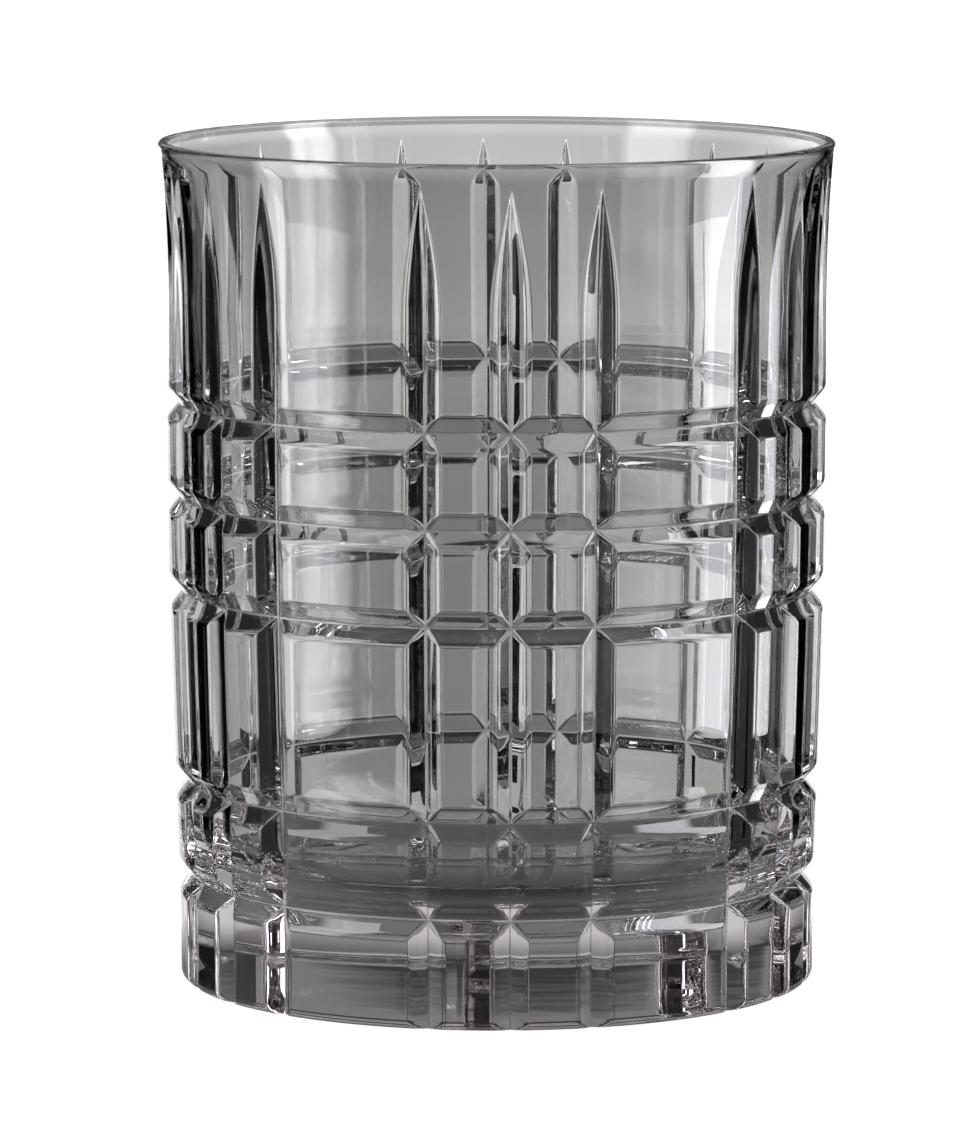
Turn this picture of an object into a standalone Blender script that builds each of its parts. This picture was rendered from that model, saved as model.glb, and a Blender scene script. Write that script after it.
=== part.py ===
"""Whiskey tumbler: a heavy double old-fashioned glass with a checked relief of V grooves.

The vessel is one pressing of smoke-grey glass, so the model is one solid. Its wall is a turned
profile that already carries the five ring grooves. Eighteen upright grooves, in six groups of
three, are then cut through the rings and run out in lancet points just below the lip.

Units are metres, +Z is up, and the origin is the centre of the flat face that the glass rests on.
One group of upright grooves is centred on -Y.
"""

import math

import bmesh
import bpy

OBJECT_NAME = "whiskey_tumbler"
NODE_NAME = "tumbler_glass"

# Overall size
HEIGHT = 0.102
FOOT_RADIUS = 0.0385
BODY_SWELL = 0.0015  # how much wider the body is than the foot
SWELL_START = 0.008  # the wall leaves the straight foot here
SWELL_END = 0.075
LIP_FLARE = 0.0009  # how far the lip leans out from the body
FLARE_START = 0.082
FOOT_ROUNDING = 0.0012

# Relief
GROOVE_DEPTH = 0.0017
GROOVE_HALF_WIDTH = 0.0020
RING_HEIGHTS = (0.01295, 0.02455, 0.04772, 0.05911, 0.07055)
GROUPS = 6
GROOVES_PER_GROUP = 3
GROOVE_SPACING = math.radians(15)
LANCET_TIP = 0.0994
LANCET_LENGTH = 0.0158

# Inside of the glass
LIP_WALL = 0.0013
LIP_OUTER_ROUNDING = 0.00035
LIP_INNER_ROUNDING = 0.00025
CAVITY_FLOOR = 0.0135
CAVITY_FLOOR_RADIUS = 0.0348
CAVITY_TOP_RADIUS = 0.0368
CAVITY_FILLET = 0.007

# Fineness of the mesh
TURN_STEPS = 72
FLARE_STEPS = 4
SWELL_STEPS = 2
LIP_STEPS = 3
FILLET_STEPS = 5
FOOT_STEPS = 3
LANCET_STEPS = 5
CUTTER_STEPS = 6
CUTTER_OVERSHOOT = 0.0010  # how far a cutter stands proud of the wall and of the foot

GLASS_COLOUR = (0.34, 0.34, 0.33, 1.0)
GLASS_ROUGHNESS = 0.02
GLASS_IOR = 1.52
SHARP_ANGLE = math.radians(20)


def flare(z):
    """How far up the leaning part of the lip a height is, squared, from 0 to 1 at the rim."""
    return (max(z - FLARE_START, 0) / (HEIGHT - FLARE_START)) ** 2


def outer_radius(z):
    """Radius of the wall's outer face at height z, with no groove in it."""
    rise = (z - SWELL_START) / (SWELL_END - SWELL_START)
    swell = math.sin(math.pi / 2 * min(max(rise, 0), 1))
    return FOOT_RADIUS + BODY_SWELL * swell + LIP_FLARE * flare(z)


def cavity_radius(z):
    """Radius of the wall's inner face at height z."""
    rise = (z - CAVITY_FLOOR) / (FLARE_START - CAVITY_FLOOR)
    body = CAVITY_FLOOR_RADIUS + (CAVITY_TOP_RADIUS - CAVITY_FLOOR_RADIUS) * min(rise, 1)
    lip = outer_radius(HEIGHT) - LIP_WALL
    return body + (lip - CAVITY_TOP_RADIUS) * flare(z)


def arc(centre, radius, start, end, steps):
    """Points (radius from the axis, height) along an arc, ends included. Angles are in radians."""
    points = []
    for step in range(steps + 1):
        angle = start + (end - start) * step / steps
        points.append((centre[0] + radius * math.cos(angle), centre[1] + radius * math.sin(angle)))
    return points


def between(low, high, steps):
    """Heights that divide a stretch into equal steps, from high to low, ends included."""
    return [high + (low - high) * step / steps for step in range(steps + 1)]


def cavity_outline():
    """From the middle of the cavity's floor, round the fillet and up the inner face."""
    fillet_top = CAVITY_FLOOR + CAVITY_FILLET
    fillet_centre = (cavity_radius(fillet_top) - CAVITY_FILLET, fillet_top)
    points = [(0.0, CAVITY_FLOOR)]
    points += arc(fillet_centre, CAVITY_FILLET, -math.pi / 2, 0, FILLET_STEPS)
    lip_start = HEIGHT - LIP_INNER_ROUNDING
    for z in reversed(between(FLARE_START, lip_start, FLARE_STEPS)[1:]):
        points.append((cavity_radius(z), z))
    return points


def lip_outline():
    """Over the flat-topped lip, from the inner face to the outer one."""
    outer = outer_radius(HEIGHT)
    inner_centre = (outer - LIP_WALL + LIP_INNER_ROUNDING, HEIGHT - LIP_INNER_ROUNDING)
    outer_centre = (outer - LIP_OUTER_ROUNDING, HEIGHT - LIP_OUTER_ROUNDING)
    inner_corner = arc(inner_centre, LIP_INNER_ROUNDING, math.pi, math.pi / 2, LIP_STEPS)
    outer_corner = arc(outer_centre, LIP_OUTER_ROUNDING, math.pi / 2, 0, LIP_STEPS)
    return inner_corner + outer_corner


def ring_outline(height):
    """Across one ring groove, from its upper shoulder to its lower one."""
    top = height + GROOVE_HALF_WIDTH
    bottom = height - GROOVE_HALF_WIDTH
    return [
        (outer_radius(top), top),
        (outer_radius(height) - GROOVE_DEPTH, height),
        (outer_radius(bottom), bottom),
    ]


def outer_outline():
    """Down the outer face from the lip to the foot, with the ring grooves."""
    lip_end = HEIGHT - LIP_OUTER_ROUNDING
    points = [(outer_radius(z), z) for z in between(FLARE_START, lip_end, FLARE_STEPS)[1:]]
    top = None
    for height in reversed(RING_HEIGHTS):
        ring = ring_outline(height)
        if top is not None:
            band = between(ring[0][1], top, SWELL_STEPS)[1:-1]
            points += [(outer_radius(z), z) for z in band]
        points += ring
        top = ring[-1][1]
    return points


def foot_outline():
    """Round the bottom edge and in to the middle of the resting face."""
    centre = (FOOT_RADIUS - FOOT_ROUNDING, FOOT_ROUNDING)
    return arc(centre, FOOT_ROUNDING, 0, -math.pi / 2, FOOT_STEPS) + [(0.0, 0.0)]


def new_collection(name):
    collection = bpy.data.collections.new(name)
    bpy.context.scene.collection.children.link(collection)
    return collection


def turned_body(collection):
    """The vessel as a profile in the XZ plane, turned about Z."""
    outline = cavity_outline() + lip_outline() + outer_outline() + foot_outline()
    mesh = bpy.data.meshes.new(NODE_NAME)
    mesh.from_pydata(
        [(radius, 0.0, z) for radius, z in outline],
        [(index, index + 1) for index in range(len(outline) - 1)],
        [],
    )
    body = bpy.data.objects.new(NODE_NAME, mesh)
    collection.objects.link(body)
    turn = body.modifiers.new("turn", "SCREW")
    turn.axis = "Z"
    turn.steps = TURN_STEPS
    turn.render_steps = TURN_STEPS
    turn.use_merge_vertices = True
    turn.merge_threshold = 0.00001
    return body


def groove_size(z):
    """Share of the full groove size at height z: it runs out to nothing at the lancet's tip."""
    below_tip = (LANCET_TIP - z) / LANCET_LENGTH
    return math.sin(math.pi / 2 * min(max(below_tip, 0), 1))


def groove_section(bm, z):
    """Three points across an upright groove on -Y: its valley and two beyond the wall."""
    size = groove_size(z)
    depth = GROOVE_DEPTH * size
    spread = GROOVE_HALF_WIDTH / GROOVE_DEPTH * (depth + CUTTER_OVERSHOOT)
    wall = outer_radius(z)
    valley = bm.verts.new((0.0, depth - wall, z))
    left = bm.verts.new((-spread, -wall - CUTTER_OVERSHOOT, z))
    right = bm.verts.new((spread, -wall - CUTTER_OVERSHOOT, z))
    return valley, left, right


def groove_cutter_mesh():
    """A loft of unlike triangles that follows the wall and ends in the lancet's point."""
    straight_top = LANCET_TIP - LANCET_LENGTH
    heights = between(straight_top, LANCET_TIP, LANCET_STEPS)
    heights += between(-CUTTER_OVERSHOOT, straight_top, CUTTER_STEPS)[1:]
    bm = bmesh.new()
    sections = [groove_section(bm, z) for z in heights]
    for upper, lower in zip(sections, sections[1:]):
        for side in range(3):
            following = (side + 1) % 3
            bm.faces.new((upper[side], upper[following], lower[following], lower[side]))
    bm.faces.new(sections[0])
    bm.faces.new(sections[-1])
    bmesh.ops.recalc_face_normals(bm, faces=bm.faces)
    mesh = bpy.data.meshes.new("groove_cutter")
    bm.to_mesh(mesh)
    bm.free()
    return mesh


def add_groove_cutters(collection):
    """Six groups of three upright cutters round the wall."""
    mesh = groove_cutter_mesh()
    middle = (GROOVES_PER_GROUP - 1) / 2
    for group in range(GROUPS):
        for groove in range(GROOVES_PER_GROUP):
            cutter = bpy.data.objects.new(f"groove_cutter_{group}_{groove}", mesh)
            turn = 2 * math.pi * group / GROUPS + (groove - middle) * GROOVE_SPACING
            cutter.rotation_euler = (0.0, 0.0, turn)
            cutter.hide_render = True
            cutter.display_type = "WIRE"
            collection.objects.link(cutter)


def cut_grooves(body, cutters):
    cut = body.modifiers.new("upright grooves", "BOOLEAN")
    cut.operation = "DIFFERENCE"
    cut.operand_type = "COLLECTION"
    cut.collection = cutters
    cut.solver = "EXACT"


def apply_modifiers(body):
    """Keeps the cut shape as the body's own mesh, so that its creases can be marked sharp."""
    graph = bpy.context.evaluated_depsgraph_get()
    mesh = bpy.data.meshes.new_from_object(body.evaluated_get(graph))
    body.modifiers.clear()
    body.data = mesh
    mesh.name = NODE_NAME
    mesh.shade_smooth()
    mesh.set_sharp_from_angle(angle=SHARP_ANGLE)


def smoke_glass():
    material = bpy.data.materials.new("smoke_glass")
    material.use_nodes = True
    shader = material.node_tree.nodes["Principled BSDF"]
    shader.inputs["Base Color"].default_value = GLASS_COLOUR
    shader.inputs["Metallic"].default_value = 0.0
    shader.inputs["Roughness"].default_value = GLASS_ROUGHNESS
    shader.inputs["IOR"].default_value = GLASS_IOR
    shader.inputs["Transmission Weight"].default_value = 1.0
    return material


def main():
    for leftover in list(bpy.data.objects):
        bpy.data.objects.remove(leftover)
    parts = new_collection(OBJECT_NAME)
    cutters = new_collection("cutters")
    body = turned_body(parts)
    add_groove_cutters(cutters)
    cut_grooves(body, cutters)
    apply_modifiers(body)
    body.data.materials.clear()
    body.data.materials.append(smoke_glass())


main()
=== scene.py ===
"""Whiskey tumbler of smoke-grey pressed glass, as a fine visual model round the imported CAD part.

The glass is one closed mesh. Its outer face is a height field over angle and height: a turned
wall less the deeper of two families of V grooves, so that the mitred creases at the crossings,
the fire-polished shoulders and the lancet points all come from geometry.
"""

import math

import bmesh
import bpy
import numpy as np
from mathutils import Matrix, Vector


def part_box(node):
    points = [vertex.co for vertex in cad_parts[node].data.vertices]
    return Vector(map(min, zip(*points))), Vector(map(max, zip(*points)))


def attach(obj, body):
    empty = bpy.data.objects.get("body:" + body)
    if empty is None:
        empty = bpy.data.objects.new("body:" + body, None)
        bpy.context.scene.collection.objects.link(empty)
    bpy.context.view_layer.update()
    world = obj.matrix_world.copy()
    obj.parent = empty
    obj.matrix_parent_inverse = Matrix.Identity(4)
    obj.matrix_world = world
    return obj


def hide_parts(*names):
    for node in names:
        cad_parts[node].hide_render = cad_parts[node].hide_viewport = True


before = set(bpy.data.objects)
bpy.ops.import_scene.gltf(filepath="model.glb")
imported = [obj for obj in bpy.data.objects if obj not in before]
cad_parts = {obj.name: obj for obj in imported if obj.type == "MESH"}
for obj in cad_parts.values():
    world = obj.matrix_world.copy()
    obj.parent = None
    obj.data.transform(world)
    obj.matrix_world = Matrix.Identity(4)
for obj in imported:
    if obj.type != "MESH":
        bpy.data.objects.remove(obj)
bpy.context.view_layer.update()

NODE = "tumbler_glass"
lowest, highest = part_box(NODE)
HEIGHT = highest.z - lowest.z

# The wall with no grooves in it, as the CAD part has it
FOOT_RADIUS = 0.0385
BODY_SWELL = 0.0015
SWELL_START = 0.008
SWELL_END = 0.075
LIP_FLARE = 0.0009
FLARE_START = 0.082
FOOT_ROUNDING = 0.0012

# The relief
GROOVE_DEPTH = 0.0017
GROOVE_HALF_WIDTH = 0.0020
RING_HEIGHTS = (0.01295, 0.02455, 0.04772, 0.05911, 0.07055)
GROUPS = 6
GROOVES_PER_GROUP = 3
GROOVE_SPACING = math.radians(15)
LANCET_TIP = 0.0994
LANCET_LENGTH = 0.0158
SHOULDER_SOFTNESS = 0.00034  # depth over which a groove's edge is rounded by the fire polish
CREASE_SOFTNESS = 0.00010
VALLEY_SOFTNESS = 0.00005

# The inside
LIP_WALL = 0.0013
LIP_OUTER_ROUNDING = 0.00055
LIP_INNER_ROUNDING = 0.00045
CAVITY_FLOOR = 0.0135
CAVITY_FLOOR_RADIUS = 0.0348
CAVITY_TOP_RADIUS = 0.0368
CAVITY_FILLET = 0.007
# Slow waves that pressing leaves in the inner wall, as (number round the wall, depth, turn)
WALL_WAVES = ((11, 0.000016, 0.4), (19, 0.000010, 2.1), (31, 0.000006, 4.0))

# The glass itself
GLASS_IOR = 1.52
LIGHT_CORD = (0.630, 0.635, 0.620)  # tint of one face of the wall
DARK_CORD = (0.600, 0.605, 0.592)
BODY_TINT = (0.62, 0.48, 0.55)
BODY_DENSITY = 6.0
HAZE = 0.012
RIPPLE = 0.000012
# Noise in the glass, as (waves per metre along each axis, detail, the part of its range used)
CORD_NOISE = ((90, 90, 12), 2.0, (0.3, 0.7))
HAZE_NOISE = ((160, 160, 60), 3.0, (0.5, 0.8))
RIPPLE_NOISE = ((120, 120, 14), 1.0, (0.0, 1.0))

# Upright lines of the mesh: places across a groove, as shares of its half width
ACROSS = (0.0, 0.10, 0.40, 0.72, 0.88, 1.0, 1.12, 1.28)
NARROW_PANEL_LINES = 4
WIDE_PANEL_LINES = 12
SMALLEST_GROOVE = 0.15  # a groove's lines and soft shoulder never shrink below this share
NUDGE = 0.00001  # step for measuring slopes
TINY = 1e-20  # keeps a division safe

# Rings of the mesh, from the middle of the underside round to the middle of the floor
INNERMOST_RING = 0.001
FOOT_CLEARANCE = 0.0006  # from the flat underside's last ring to the deepest of the grooves
FLAT_STEPS = 8
FOOT_STEPS = 6
BAND_STEPS = (5, 3, 7, 3, 3)  # below each ring groove
PANEL_STEPS = 4
LANCET_SHOULDER = LANCET_TIP - LANCET_LENGTH
LANCET_WAIST = LANCET_TIP - LANCET_LENGTH / 3
LANCET_WAIST_STEPS = 14
LANCET_END = LANCET_TIP + 0.0006
LANCET_END_STEPS = 20
RIM_STEPS = 4
LIP_EDGE_STEPS = 6
LIP_FLAT_STEPS = 3
CAVITY_STEPS = 40
FILLET_STEPS = 12


def soft_max(a, b, softness):
    """The larger of two depths, with the corner between them rounded off."""
    overlap = np.maximum(softness - np.abs(a - b), 0) / softness
    return np.maximum(a, b) + overlap**2 * softness / 4


def flare(z):
    return (np.maximum(z - FLARE_START, 0) / (HEIGHT - FLARE_START)) ** 2


def outer_radius(z):
    rise = np.clip((z - SWELL_START) / (SWELL_END - SWELL_START), 0, 1)
    return FOOT_RADIUS + BODY_SWELL * np.sin(math.pi / 2 * rise) + LIP_FLARE * flare(z)


def cavity_radius(z):
    rise = np.minimum((z - CAVITY_FLOOR) / (FLARE_START - CAVITY_FLOOR), 1)
    body = CAVITY_FLOOR_RADIUS + (CAVITY_TOP_RADIUS - CAVITY_FLOOR_RADIUS) * rise
    lip = outer_radius(HEIGHT) - LIP_WALL
    return body + (lip - CAVITY_TOP_RADIUS) * flare(z)


def groove_size(z):
    """Share of the full groove at a height. It goes below nothing past the lancet's tip."""
    below_tip = (LANCET_TIP - z) / LANCET_LENGTH
    return np.where(
        below_tip < 0, below_tip * math.pi / 2, np.sin(math.pi / 2 * np.minimum(below_tip, 1))
    )


def groove_angles():
    """The middle of each upright groove, as an angle from -Y towards +X, in order round."""
    middle = (GROOVES_PER_GROUP - 1) / 2
    return [
        2 * math.pi * group / GROUPS + (groove - middle) * GROOVE_SPACING
        for group in range(GROUPS)
        for groove in range(GROOVES_PER_GROUP)
    ]


def upright_depth(angle, z):
    """How far the upright grooves reach in, and below nothing between them."""
    slope = GROOVE_DEPTH / GROOVE_HALF_WIDTH
    nearest = np.full(angle.shape, np.inf)
    for centre in groove_angles():
        turn = (angle - centre + math.pi) % (2 * math.pi) - math.pi
        nearest = np.minimum(nearest, np.abs(turn))
    offset = np.sqrt((nearest * outer_radius(z)) ** 2 + VALLEY_SOFTNESS**2)
    return GROOVE_DEPTH * groove_size(z) - slope * offset


def ring_depth(z):
    """How far the ring grooves reach in, and below nothing between them."""
    slope = GROOVE_DEPTH / GROOVE_HALF_WIDTH
    depth = np.full(z.shape, -1.0)
    for height in RING_HEIGHTS:
        offset = np.sqrt((z - height) ** 2 + VALLEY_SOFTNESS**2)
        depth = np.maximum(depth, GROOVE_DEPTH - slope * offset)
    return depth


def relief_depth(angle, z):
    """How far the glass is cut in from the plain wall."""
    both = soft_max(upright_depth(angle, z), ring_depth(z), CREASE_SOFTNESS)
    softness = SHOULDER_SOFTNESS * np.clip(groove_size(z), SMALLEST_GROOVE, 1)
    return soft_max(both, 0.0, softness)


def place(radius, angle, z):
    return np.stack([radius * np.sin(angle), -radius * np.cos(angle), z + 0 * angle], axis=-1)


def wall_surface(angle, z):
    return place(outer_radius(z) - relief_depth(angle, z), angle, z)


def foot_surface(angle, turn):
    """The rounded bottom edge. turn goes from 0 at the wall to a quarter turn at the bottom."""
    z = FOOT_ROUNDING * (1 - np.sin(turn))
    edge = FOOT_ROUNDING * (1 - np.cos(turn))
    depth = soft_max(upright_depth(angle, z), edge, SHOULDER_SOFTNESS)
    return place(FOOT_RADIUS - depth, angle, z)


def lip_surface(angle, way):
    """Over the lip. way runs to 1 round the outer edge, to 2 across and to 3 round the inner edge."""
    outer_turn = math.pi / 2 * np.clip(way, 0, 1)
    inner_turn = math.pi / 2 * np.clip(way - 2, 0, 1)
    flat = LIP_WALL - LIP_OUTER_ROUNDING - LIP_INNER_ROUNDING
    inward = LIP_OUTER_ROUNDING * (1 - np.cos(outer_turn)) + flat * np.clip(way - 1, 0, 1)
    inward = inward + LIP_INNER_ROUNDING * np.sin(inner_turn)
    below = LIP_OUTER_ROUNDING * (1 - np.sin(outer_turn))
    below = below + LIP_INNER_ROUNDING * (1 - np.cos(inner_turn))
    return place(outer_radius(HEIGHT) - inward, angle, HEIGHT - below)


def cavity_surface(angle, z):
    """The inner wall, with waves that fade out towards the lip and the floor."""
    share = (z - CAVITY_FLOOR - CAVITY_FILLET) / (HEIGHT - CAVITY_FLOOR - CAVITY_FILLET)
    fade = np.sin(math.pi * np.clip(share, 0, 1)) ** 0.5
    wave = sum(depth * np.sin(count * angle + turn) for count, depth, turn in WALL_WAVES)
    return place(cavity_radius(z) + wave * fade, angle, z)


def fillet_surface(angle, turn):
    """The rounded corner inside. turn goes from 0 at the wall to a quarter turn at the floor."""
    top = CAVITY_FLOOR + CAVITY_FILLET
    centre = cavity_radius(top) - CAVITY_FILLET
    return place(centre + CAVITY_FILLET * np.cos(turn), angle, top - CAVITY_FILLET * np.sin(turn))


def floor_surface(angle, radius):
    return place(radius, angle, CAVITY_FLOOR)


def bottom_surface(angle, radius):
    return place(radius, angle, 0)


def groove_lines():
    """Both halves of ACROSS, from the left of a groove to its right."""
    return [-share for share in reversed(ACROSS[1:])] + list(ACROSS)


def column_angles(z):
    """The angle of every upright line of the mesh at height z. The lines follow the grooves."""
    size = max(float(groove_size(z)), SMALLEST_GROOVE)
    unit = GROOVE_HALF_WIDTH * size / float(outer_radius(z))
    reach = ACROSS[-1] * unit
    centres = groove_angles()
    angles = []
    for index, centre in enumerate(centres):
        angles += [centre + share * unit for share in groove_lines()]
        wide = index % GROOVES_PER_GROUP == GROOVES_PER_GROUP - 1
        lines = WIDE_PANEL_LINES if wide else NARROW_PANEL_LINES
        following = centres[(index + 1) % len(centres)]
        gap = (following - centre) % (2 * math.pi) - 2 * reach
        angles += [centre + reach + gap * (n + 1) / (lines + 1) for n in range(lines)]
    return np.array(angles)


def steps_between(start, end, steps):
    """Values from start to end, without start."""
    return [start + (end - start) * (n + 1) / steps for n in range(steps)]


def wall_heights():
    """Heights of the mesh's rings on the outer wall, from the foot's rounding to the lip."""
    reach = ACROSS[-1] * GROOVE_HALF_WIDTH
    heights = [FOOT_ROUNDING]
    for height, steps in zip(RING_HEIGHTS, BAND_STEPS):
        heights += steps_between(heights[-1], height - reach, steps)
        heights += [height + share * GROOVE_HALF_WIDTH for share in groove_lines()[1:]]
    heights += steps_between(heights[-1], LANCET_SHOULDER, PANEL_STEPS)
    heights += steps_between(heights[-1], LANCET_WAIST, LANCET_WAIST_STEPS)
    heights += steps_between(heights[-1], LANCET_END, LANCET_END_STEPS)
    heights += steps_between(heights[-1], HEIGHT - LIP_OUTER_ROUNDING, RIM_STEPS)
    return heights


def zone_rings(surface, values, facing, column_height=None):
    """One ring of points and normals for each value.

    facing is 1 or -1, whichever turns the normals out of the glass. The upright lines stand as
    they do at column_height or, without it, at each value.
    """
    rings = []
    for value in values:
        angle = column_angles(value if column_height is None else column_height)
        value = np.full(angle.shape, value)
        points = surface(angle, value)
        round_way = surface(angle + NUDGE, value) - surface(angle - NUDGE, value)
        along = surface(angle, value + NUDGE) - surface(angle, value - NUDGE)
        normals = facing * np.cross(round_way, along)
        normals /= np.maximum(np.linalg.norm(normals, axis=1), TINY)[:, None]
        rings.append((points, normals))
    return rings


def glass_rings():
    """Rings of points and normals from the middle of the underside, up and over to the floor."""
    flat_edge = FOOT_RADIUS - GROOVE_DEPTH - FOOT_CLEARANCE
    underside = steps_between(INNERMOST_RING, flat_edge, FLAT_STEPS)
    foot_turns = [math.pi / 2 * (1 - n / FOOT_STEPS) for n in range(FOOT_STEPS)]
    ways = steps_between(0, 1, LIP_EDGE_STEPS)
    ways += steps_between(1, 2, LIP_FLAT_STEPS)
    ways += steps_between(2, 3, LIP_EDGE_STEPS)
    fillet_top = CAVITY_FLOOR + CAVITY_FILLET
    inner_heights = steps_between(HEIGHT - LIP_INNER_ROUNDING, fillet_top, CAVITY_STEPS)
    fillet_turns = steps_between(0, math.pi / 2, FILLET_STEPS)
    floor_edge = float(cavity_radius(fillet_top)) - CAVITY_FILLET
    floor = steps_between(floor_edge, INNERMOST_RING, FLAT_STEPS)
    return (
        zone_rings(bottom_surface, underside, 1, 0.0)
        + zone_rings(foot_surface, foot_turns, -1, 0.0)
        + zone_rings(wall_surface, wall_heights(), 1)
        + zone_rings(lip_surface, ways, 1, HEIGHT)
        + zone_rings(cavity_surface, inner_heights, -1, HEIGHT)
        + zone_rings(fillet_surface, fillet_turns, 1, HEIGHT)
        + zone_rings(floor_surface, floor, -1, HEIGHT)
    )


def better_diagonal(points, a, b, c, d):
    """For each four-sided cell, whether the middle of a to c lies as far out as that of b to d."""
    middle_ac = (points[a] + points[c]) / 2
    middle_bd = (points[b] + points[d]) / 2
    return np.linalg.norm(middle_ac[:, :2], axis=1) >= np.linalg.norm(middle_bd[:, :2], axis=1)


def glass_mesh():
    rings = glass_rings()
    count = len(rings[0][0])
    points = np.concatenate([ring[0] for ring in rings])
    normals = np.concatenate([ring[1] for ring in rings])
    column = np.arange(count)
    following = (column + 1) % count
    faces = []
    for row in range(len(rings) - 1):
        a = row * count + column
        b = row * count + following
        c = (row + 1) * count + following
        d = (row + 1) * count + column
        first = better_diagonal(points, a, b, c, d)[:, None]
        faces.append(np.where(first, np.stack([a, b, c], 1), np.stack([a, b, d], 1)))
        faces.append(np.where(first, np.stack([a, c, d], 1), np.stack([b, c, d], 1)))
    under, floor = len(points), len(points) + 1
    points = np.concatenate([points, [[0, 0, 0], [0, 0, CAVITY_FLOOR]]])
    normals = np.concatenate([normals, [[0, 0, -1], [0, 0, 1]]])
    last = (len(rings) - 1) * count
    faces.append(np.stack([np.full(count, under), following, column], 1))
    faces.append(np.stack([np.full(count, floor), last + column, last + following], 1))
    faces = np.concatenate(faces)
    mesh = bpy.data.meshes.new("smoke_tumbler")
    mesh.from_pydata(points.tolist(), [], faces.tolist())
    mesh.update()
    mesh.shade_smooth()
    mesh.normals_split_custom_set_from_vertices(normals.tolist())
    return mesh


def add_noise(tree, kind, result):
    """Adds one kind of noise, and gives its value mapped between the two values of result."""
    scale, detail, used = kind
    coordinates = tree.nodes.new("ShaderNodeTexCoord")
    stretch = tree.nodes.new("ShaderNodeMapping")
    stretch.inputs["Scale"].default_value = scale
    noise = tree.nodes.new("ShaderNodeTexNoise")
    noise.inputs["Scale"].default_value = 1.0
    noise.inputs["Detail"].default_value = detail
    spread = tree.nodes.new("ShaderNodeMapRange")
    spread.inputs["From Min"].default_value = used[0]
    spread.inputs["From Max"].default_value = used[1]
    spread.inputs["To Min"].default_value = result[0]
    spread.inputs["To Max"].default_value = result[1]
    tree.links.new(coordinates.outputs["Object"], stretch.inputs["Vector"])
    tree.links.new(stretch.outputs["Vector"], noise.inputs["Vector"])
    tree.links.new(noise.outputs["Fac"], spread.inputs["Value"])
    return spread.outputs["Result"]


def smoke_glass():
    """Fire-polished smoke glass: faint cords in its colour, a trace of haze and slow ripples."""
    material = bpy.data.materials.new("smoke_glass_fine")
    material.use_nodes = True
    tree = material.node_tree
    shader = tree.nodes["Principled BSDF"]
    output = tree.nodes["Material Output"]
    shader.inputs["IOR"].default_value = GLASS_IOR
    shader.inputs["Transmission Weight"].default_value = 1.0
    cords = tree.nodes.new("ShaderNodeValToRGB")
    for mark, tint in zip(cords.color_ramp.elements, (DARK_CORD, LIGHT_CORD)):
        mark.color = (*tint, 1)
    cord_noise = add_noise(tree, CORD_NOISE, (0.0, 1.0))
    haze_noise = add_noise(tree, HAZE_NOISE, (0.0, HAZE))
    ripple_noise = add_noise(tree, RIPPLE_NOISE, (0.0, 1.0))
    ripple = tree.nodes.new("ShaderNodeBump")
    ripple.inputs["Strength"].default_value = 1.0
    ripple.inputs["Distance"].default_value = RIPPLE
    volume = tree.nodes.new("ShaderNodeVolumeAbsorption")
    volume.inputs["Color"].default_value = (*BODY_TINT, 1)
    volume.inputs["Density"].default_value = BODY_DENSITY
    tree.links.new(cord_noise, cords.inputs["Fac"])
    tree.links.new(cords.outputs["Color"], shader.inputs["Base Color"])
    tree.links.new(haze_noise, shader.inputs["Roughness"])
    tree.links.new(ripple_noise, ripple.inputs["Height"])
    tree.links.new(ripple.outputs["Normal"], shader.inputs["Normal"])
    tree.links.new(volume.outputs["Volume"], output.inputs["Volume"])
    return material


def add_glass():
    mesh = glass_mesh()
    glass = bpy.data.objects.new("smoke_tumbler", mesh)
    bpy.context.scene.collection.objects.link(glass)
    mesh.materials.append(smoke_glass())
    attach(glass, "root")
    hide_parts(NODE)


# The camera, at a little above the rim and looking slightly down
CAMERA_DISTANCE = 0.9066
CAMERA_HEIGHT = 0.16818
CAMERA_AZIMUTH = math.radians(-2.445)
CAMERA_PITCH = math.radians(7.438)
CAMERA_LENS = 238.4
CAMERA_SHIFT = -0.0103


def add_camera():
    data = bpy.data.cameras.new("camera")
    data.lens = CAMERA_LENS
    data.shift_x = CAMERA_SHIFT
    camera = bpy.data.objects.new("camera", data)
    camera.location = (
        CAMERA_DISTANCE * math.sin(CAMERA_AZIMUTH),
        -CAMERA_DISTANCE * math.cos(CAMERA_AZIMUTH),
        CAMERA_HEIGHT,
    )
    camera.rotation_euler = (math.pi / 2 - CAMERA_PITCH, 0, CAMERA_AZIMUTH)
    bpy.context.scene.collection.objects.link(camera)
    bpy.context.scene.camera = camera


# The studio. Azimuths go round from behind the glass towards its right.
PALE = (1.0, 1.0, 1.0)
COOL = (0.93, 0.94, 1.0)
CARDS = (
    # name, azimuth in degrees, distance, width, height, radiance, colour
    ("black_card_right", 60, 0.105, 0.090, 0.20, 0.0, PALE),
    ("black_card_left", -60, 0.105, 0.090, 0.20, 0.0, PALE),
    ("strip_light_right", 103, 0.20, 0.085, 0.30, 8.0, COOL),
    ("strip_light_right_soft", 124, 0.20, 0.060, 0.30, 1.2, COOL),
    ("strip_light_left", -110, 0.20, 0.125, 0.30, 5.0, COOL),
)
SOFT_EDGE = 0.2  # share of a strip light's width over which each of its sides fades out
WALL_DISTANCE = 1.8
WALL_WIDTH = 3.0
# Glow of the back wall, as (height, radiance)
WALL_GLOW = (
    (0.0, 0.60),
    (0.13, 0.60),
    (0.17, 0.08),
    (0.33, 0.08),
    (0.37, 0.38),
    (0.62, 0.55),
    (0.80, 0.32),
    (1.60, 0.32),
)
TABLE_RADIUS = 2.5
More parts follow.
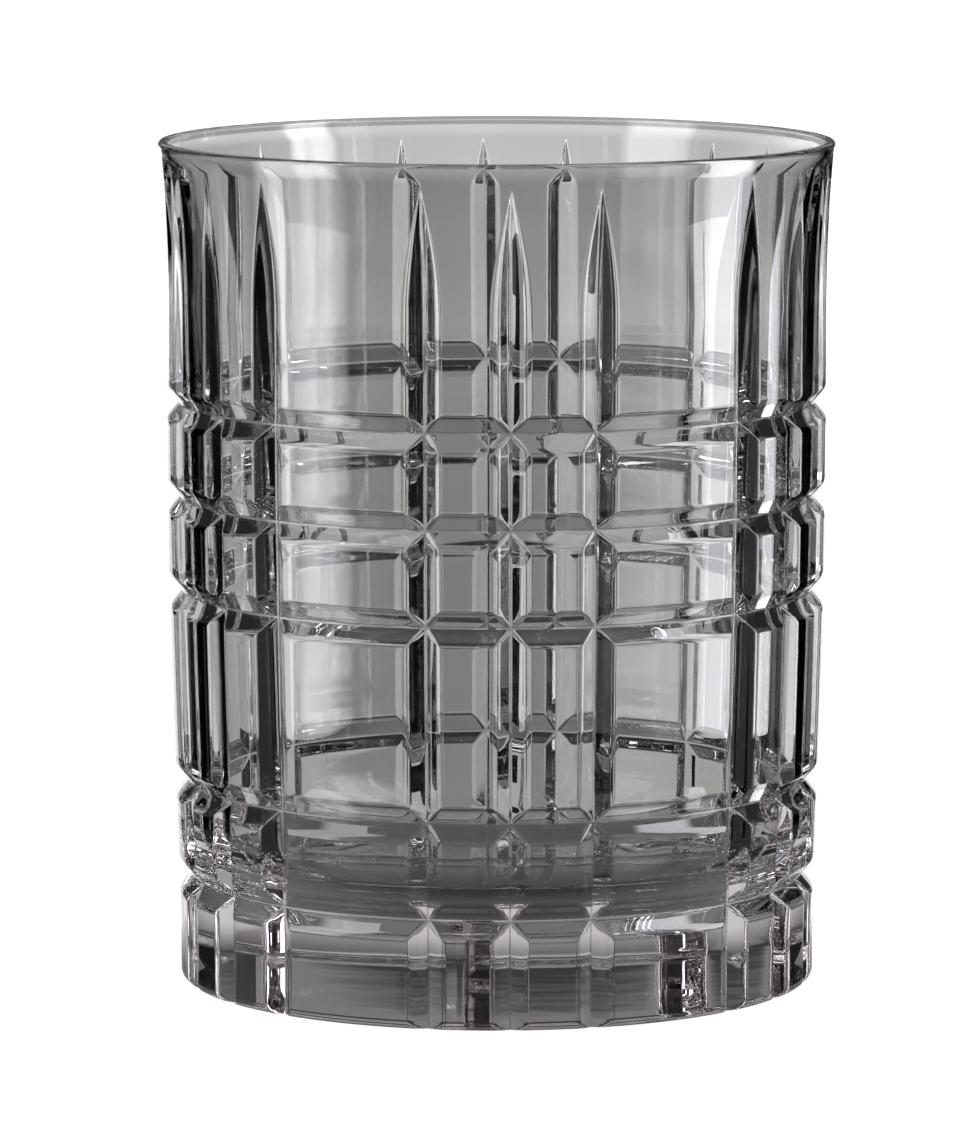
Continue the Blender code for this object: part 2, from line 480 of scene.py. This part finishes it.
# Glow of the light table, as (distance from the axis, radiance). Its dim first stop, close to the
# glass, is painted shadow of the glass on the table
LIGHT_TABLE_GLOW_AND_SHADOW = (
    (0.041, 0.12),
    (0.060, 0.65),
    (0.400, 0.62),
    (0.700, 0.92),
    (1.000, 1.08),
)
# Right-hand half of the light table's outline, as (aside, behind)
TABLE_OUTLINE = ((0.050, 0.0), (0.075, 0.09), (0.36, 0.45), (0.36, TABLE_RADIUS))
SIDE_GLOW = 1.7  # how much brighter the light table is beside the glass than right behind it
SIDE_START = 0.12  # where that begins, as distance aside over distance behind
SIDE_END = 0.18
# Glow of the dark table all round, as (distance from the axis, radiance)
DARK_TABLE_GLOW = ((0.041, 0.03), (0.50, 0.05), (0.90, 0.15), (1.20, 0.40))
CONTACT_RADIUS = 0.041
# Painted shade of the table seen through the foot: dark at the front and lighter towards the back,
# where light from behind reaches under, as (distance behind the axis, radiance)
PAINTED_SHADE_UNDER_FOOT = ((-0.035, 0.05), (-0.010, 0.25), (0.025, 0.30), (0.032, 0.08))
# Heights of the sheets that the glass stands over, one just below the other
CONTACT_LEVEL = -0.0001
LIGHT_TABLE_LEVEL = -0.00015
DARK_TABLE_LEVEL = -0.0002
FLOOR_LEVEL = -0.0003
DISC_SIDES = 48
DOME_RADIUS = 0.99 * TABLE_RADIUS
DOME_COLUMNS = 32
DOME_ROWS = 16
# Glow of the dome over it all, as (height, radiance)
SURROUND_GLOW = ((0.0, 0.08), (0.65, 0.08), (0.85, 0.25), (1.70, 0.25), (1.90, 0.08))
FLOOR_SIZE = 4.0
FLOOR_GLOW = 1.0
FLOOR_WHITENESS = 0.22
GLASS_BOUNCES = 32


def hide_from_camera(obj):
    """Leaves the object to be seen only in and through the glass."""
    obj.visible_camera = False
    obj.visible_diffuse = False
    obj.visible_shadow = False
    obj.visible_volume_scatter = False


def glow_material(name, radiance, colour):
    material = bpy.data.materials.new(name)
    material.use_nodes = True
    tree = material.node_tree
    tree.nodes.remove(tree.nodes["Principled BSDF"])
    glow = tree.nodes.new("ShaderNodeEmission")
    glow.inputs["Color"].default_value = (*colour, 1.0)
    glow.inputs["Strength"].default_value = radiance
    tree.links.new(glow.outputs["Emission"], tree.nodes["Material Output"].inputs["Surface"])
    return material


def link_stage(name, mesh, material):
    mesh.materials.append(material)
    obj = bpy.data.objects.new(name, mesh)
    bpy.context.scene.collection.objects.link(obj)
    return obj


def add_sheet(name, corners, material):
    """A flat piece of the studio with one face."""
    mesh = bpy.data.meshes.new(name)
    mesh.from_pydata(corners, [], [tuple(range(len(corners)))])
    return link_stage(name, mesh, material)


def ramp_factor(tree, stops, source):
    """Adds a ramp of radiances over a distance, and gives its colour socket."""
    start, end = stops[0][0], stops[-1][0]
    share = tree.nodes.new("ShaderNodeMapRange")
    share.inputs["From Min"].default_value = start
    share.inputs["From Max"].default_value = end
    ramp = tree.nodes.new("ShaderNodeValToRGB")
    marks = ramp.color_ramp.elements
    while len(marks) < len(stops):
        marks.new(1.0)
    brightest = max(glow for _, glow in stops)
    for mark, (distance, glow) in zip(marks, stops):
        mark.position = (distance - start) / (end - start)
        mark.color = (glow / brightest, glow / brightest, glow / brightest, 1)
    tree.links.new(source, share.inputs["Value"])
    tree.links.new(share.outputs["Result"], ramp.inputs["Fac"])
    tree.nodes["Emission"].inputs["Strength"].default_value = brightest
    return ramp.outputs["Color"]


def upright_corners(azimuth, distance, width, height):
    """Corners of an upright card that faces the glass, from its lower left round."""
    turn = math.radians(azimuth)
    middle = Vector((math.sin(turn), math.cos(turn), 0)) * distance
    aside = Vector((math.cos(turn), -math.sin(turn), 0)) * width / 2
    up = Vector((0, 0, height))
    return [middle - aside, middle + aside, middle + aside + up, middle - aside + up]


def soften_sides(material):
    """Fades the glow out towards both sides of the card."""
    tree = material.node_tree
    way = tree.nodes.new("ShaderNodeUVMap")
    split = tree.nodes.new("ShaderNodeSeparateXYZ")
    fold = tree.nodes.new("ShaderNodeMath")
    fold.operation = "PINGPONG"
    fold.inputs[1].default_value = 0.5  # folds at the card's middle, so both sides count as 0
    fade = tree.nodes.new("ShaderNodeMapRange")
    fade.interpolation_type = "SMOOTHSTEP"
    fade.inputs["From Max"].default_value = SOFT_EDGE
    shine = tree.nodes.new("ShaderNodeVectorMath")
    shine.operation = "SCALE"
    glow = tree.nodes["Emission"]
    shine.inputs[0].default_value = glow.inputs["Color"].default_value[:3]
    tree.links.new(way.outputs["UV"], split.inputs["Vector"])
    tree.links.new(split.outputs["X"], fold.inputs[0])
    tree.links.new(fold.outputs["Value"], fade.inputs["Value"])
    tree.links.new(fade.outputs["Result"], shine.inputs["Scale"])
    tree.links.new(shine.outputs["Vector"], glow.inputs["Color"])


def add_card(name, azimuth, distance, width, height, radiance, colour):
    """An upright card, seen only by the glass."""
    material = glow_material(name, radiance, colour)
    card = add_sheet(name, upright_corners(azimuth, distance, width, height), material)
    across = card.data.uv_layers.new(name="across")
    for loop, corner in zip(across.data, ((0, 0), (1, 0), (1, 1), (0, 1))):
        loop.uv = corner
    if radiance:
        soften_sides(material)
    hide_from_camera(card)


def spread_material(name, stops, axis):
    """Glow that changes along one axis of its own object."""
    material = glow_material(name, 1.0, PALE)
    tree = material.node_tree
    coordinates = tree.nodes.new("ShaderNodeTexCoord")
    split = tree.nodes.new("ShaderNodeSeparateXYZ")
    tree.links.new(coordinates.outputs["Object"], split.inputs["Vector"])
    glow = ramp_factor(tree, stops, split.outputs[axis])
    tree.links.new(glow, tree.nodes["Emission"].inputs["Color"])
    return material


def table_material(name, stops, side_glow):
    """Glow that changes with the distance from the axis and to either side of the glass."""
    material = glow_material(name, 1.0, PALE)
    tree = material.node_tree
    coordinates = tree.nodes.new("ShaderNodeTexCoord")
    length = tree.nodes.new("ShaderNodeVectorMath")
    length.operation = "LENGTH"
    split = tree.nodes.new("ShaderNodeSeparateXYZ")
    slant = tree.nodes.new("ShaderNodeMath")
    slant.operation = "DIVIDE"
    aside = tree.nodes.new("ShaderNodeMath")
    aside.operation = "ABSOLUTE"
    rise = tree.nodes.new("ShaderNodeMapRange")
    rise.interpolation_type = "SMOOTHSTEP"
    rise.inputs["From Min"].default_value = SIDE_START
    rise.inputs["From Max"].default_value = SIDE_END
    rise.inputs["To Min"].default_value = 1.0
    rise.inputs["To Max"].default_value = side_glow
    product = tree.nodes.new("ShaderNodeVectorMath")
    product.operation = "SCALE"
    tree.links.new(coordinates.outputs["Object"], length.inputs[0])
    tree.links.new(coordinates.outputs["Object"], split.inputs["Vector"])
    tree.links.new(split.outputs["X"], slant.inputs[0])
    tree.links.new(split.outputs["Y"], slant.inputs[1])
    tree.links.new(slant.outputs["Value"], aside.inputs[0])
    tree.links.new(aside.outputs["Value"], rise.inputs["Value"])
    glow = ramp_factor(tree, stops, length.outputs["Value"])
    tree.links.new(glow, product.inputs[0])
    tree.links.new(rise.outputs["Result"], product.inputs["Scale"])
    tree.links.new(product.outputs["Vector"], tree.nodes["Emission"].inputs["Color"])
    return material


def disc(radius, z):
    turns = [2 * math.pi * n / DISC_SIDES for n in range(DISC_SIDES)]
    return [(radius * math.sin(turn), radius * math.cos(turn), z) for turn in turns]


def add_light_table():
    """The light table behind the glass, with painted shadow of the glass on it close to the glass."""
    outline = [(x, y, LIGHT_TABLE_LEVEL) for x, y in TABLE_OUTLINE]
    outline += [(-x, y, z) for x, y, z in reversed(outline)]
    material = table_material("light_table", LIGHT_TABLE_GLOW_AND_SHADOW, SIDE_GLOW)
    hide_from_camera(add_sheet("light_table", outline, material))


def add_painted_shade_under_foot():
    """What the glass sees right under its foot: a glowing disc of painted shade, dark in front and
    lighter behind.
    """
    # painted shadow of the glass on the table, with painted light at the back of it
    material = spread_material("painted_shade_under_foot", PAINTED_SHADE_UNDER_FOOT, "Y")
    hide_from_camera(add_sheet("painted_shade_under_foot", disc(CONTACT_RADIUS, CONTACT_LEVEL), material))


def add_dark_table():
    """A dark table round the light one, so that the glass doesn't see light on every side."""
    material = table_material("dark_table", DARK_TABLE_GLOW, 1.0)
    hide_from_camera(add_sheet("dark_table", disc(TABLE_RADIUS, DARK_TABLE_LEVEL), material))


def add_surround():
    """A dim dome, so that the glass doesn't see the white backdrop on every side."""
    mesh = bpy.data.meshes.new("surround")
    ball = bmesh.new()
    bmesh.ops.create_uvsphere(
        ball, u_segments=DOME_COLUMNS, v_segments=DOME_ROWS, radius=DOME_RADIUS
    )
    ball.to_mesh(mesh)
    ball.free()
    hide_from_camera(link_stage("surround", mesh, spread_material("surround", SURROUND_GLOW, "Z")))


def add_back_wall():
    """A wall behind the light table, whose glow changes with height."""
    material = spread_material("back_wall", WALL_GLOW, "Z")
    corners = upright_corners(0, WALL_DISTANCE, WALL_WIDTH, WALL_GLOW[-1][0])
    hide_from_camera(add_sheet("back_wall", corners, material))


def add_world():
    world = bpy.data.worlds.new("studio")
    bpy.context.scene.world = world
    world.use_nodes = True
    background = world.node_tree.nodes["Background"]
    background.inputs["Color"].default_value = (1, 1, 1, 1)
    background.inputs["Strength"].default_value = 1.0


def add_floor():
    """The white floor that the camera sees, which the glass doesn't."""
    material = bpy.data.materials.new("pale_floor")
    material.use_nodes = True
    shader = material.node_tree.nodes["Principled BSDF"]
    shader.inputs["Base Color"].default_value = (FLOOR_WHITENESS,) * 3 + (1,)
    shader.inputs["Roughness"].default_value = 1.0
    shader.inputs["Specular IOR Level"].default_value = 0.0
    shader.inputs["Emission Color"].default_value = (1, 1, 1, 1)
    shader.inputs["Emission Strength"].default_value = FLOOR_GLOW
    floor = add_sheet("floor", disc(FLOOR_SIZE, FLOOR_LEVEL), material)
    floor.visible_glossy = False
    floor.visible_transmission = False


def add_studio():
    add_world()
    add_floor()
    add_light_table()
    add_painted_shade_under_foot()
    add_dark_table()
    add_surround()
    add_back_wall()
    for card in CARDS:
        add_card(*card)


def set_render_look():
    scene = bpy.context.scene
    scene.view_settings.view_transform = "Standard"
    scene.cycles.max_bounces = GLASS_BOUNCES
    scene.cycles.transmission_bounces = GLASS_BOUNCES
    scene.cycles.glossy_bounces = 16
    scene.cycles.diffuse_bounces = 3
    scene.cycles.caustics_reflective = False
    scene.cycles.caustics_refractive = False


add_glass()
add_camera()
add_studio()
set_render_look()
